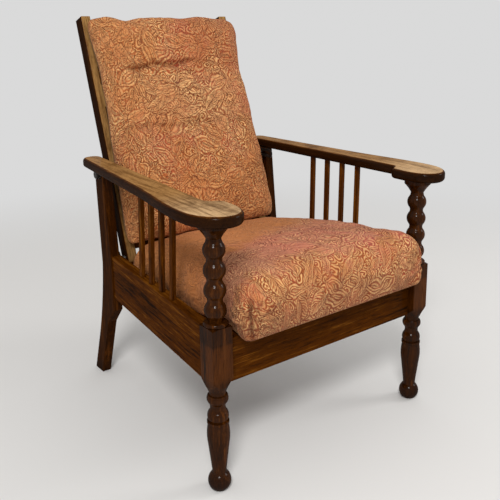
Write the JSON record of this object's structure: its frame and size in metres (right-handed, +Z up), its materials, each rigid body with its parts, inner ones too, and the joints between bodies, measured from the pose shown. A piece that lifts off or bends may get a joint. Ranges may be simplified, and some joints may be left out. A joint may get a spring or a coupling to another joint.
{
  "type": "reclining armchair",
  "caption": "Oak reclining armchair with turned front legs, flat paddle arms, slim side spindles, a clamped tilting back and patterned seat and back cushions.",
  "frame": {"origin": "on the floor, under the middle of the whole chair's width and depth at rest", "axes": "+Z up; the chair faces -Y; +X is to the right of someone who looks at its back, so its left side is -X as seen from behind it"},
  "size_m": [0.7044, 0.7896, 0.9529],
  "materials": {
    "oak_arm": "dark stained oak, worn pale on top, satin varnish",
    "oak_turned": "dark stained oak, glossy old varnish",
    "oak_spindle": "dark stained oak, satin",
    "oak_rail": "stained oak with diagonal figure, satin",
    "oak_stile": "stained oak, worn, satin",
    "oak_rear_leg": "dark stained oak, satin",
    "oak_inner": "plain oak and pine, unpolished",
    "seat_fabric": "woven upholstery cloth with an all-over leaf and flower pattern",
    "back_fabric": "woven upholstery cloth with an all-over leaf and flower pattern",
    "dark_iron": "blackened iron",
    "steel": "dull steel"
  },
  "bodies": {
    "frame": {"arm_left": "oak_arm", "arm_right": "oak_arm", "bearer_screws": "steel", "clamp_bolt_left": "steel", "clamp_bolt_right": "steel", "clamp_spacer_left": "steel", "clamp_spacer_right": "steel", "clamp_washer_left": "steel", "clamp_washer_right": "steel", "corner_block_left": "oak_inner", "corner_block_right": "oak_inner", "front_leg_left": "oak_turned", "front_leg_right": "oak_turned", "front_rail": "oak_rail", "pivot_plate_left": "dark_iron", "pivot_plate_right": "dark_iron", "pivot_plate_screws": "steel", "pivot_spacer_left": "steel", "pivot_spacer_right": "steel", "rear_leg_left": "oak_rear_leg", "rear_leg_right": "oak_rear_leg", "rear_rail": "oak_inner", "seat_bearer_left": "oak_inner", "seat_bearer_right": "oak_inner", "seat_cushion": "seat_fabric", "seat_slat_1": "oak_inner", "seat_slat_2": "oak_inner", "seat_slat_3": "oak_inner", "seat_slat_4": "oak_inner", "seat_slat_5": "oak_inner", "seat_slat_6": "oak_inner", "side_rail_left": "oak_rail", "side_rail_right": "oak_rail", "spindle_left_1": "oak_spindle", "spindle_left_2": "oak_spindle", "spindle_left_3": "oak_spindle", "spindle_left_4": "oak_spindle", "spindle_right_1": "oak_spindle", "spindle_right_2": "oak_spindle", "spindle_right_3": "oak_spindle", "spindle_right_4": "oak_spindle"},
    "back": {"back_bottom_rail": "oak_inner", "back_cushion": "back_fabric", "back_slat_1": "oak_inner", "back_slat_2": "oak_inner", "back_slat_3": "oak_inner", "back_slat_4": "oak_inner", "back_stile_left": "oak_stile", "back_stile_right": "oak_stile", "back_top_rail": "oak_inner", "quadrant_left": "dark_iron", "quadrant_packers": "dark_iron", "quadrant_right": "dark_iron", "quadrant_screws": "steel"},
    "knob_left": {"clamp_knob_left": "dark_iron"},
    "knob_right": {"clamp_knob_right": "dark_iron"}
  },
  "joints": [
    {"name": "back_recline", "type": "hinge", "parent": "frame", "child": "back", "pos_m": [0, 0.18311, 0.345], "axis": [-1, 0, 0], "range_deg": [0, 14]},
    {"name": "knob_left_turn", "type": "hinge", "parent": "frame", "child": "knob_left", "pos_m": [-0.2755, 0.21711, 0.56496], "axis": [-1, 0, 0], "range_deg": [0, 360]},
    {"name": "knob_right_turn", "type": "hinge", "parent": "frame", "child": "knob_right", "pos_m": [0.2755, 0.21711, 0.56496], "axis": [1, 0, 0], "range_deg": [0, 360]}
  ]
}
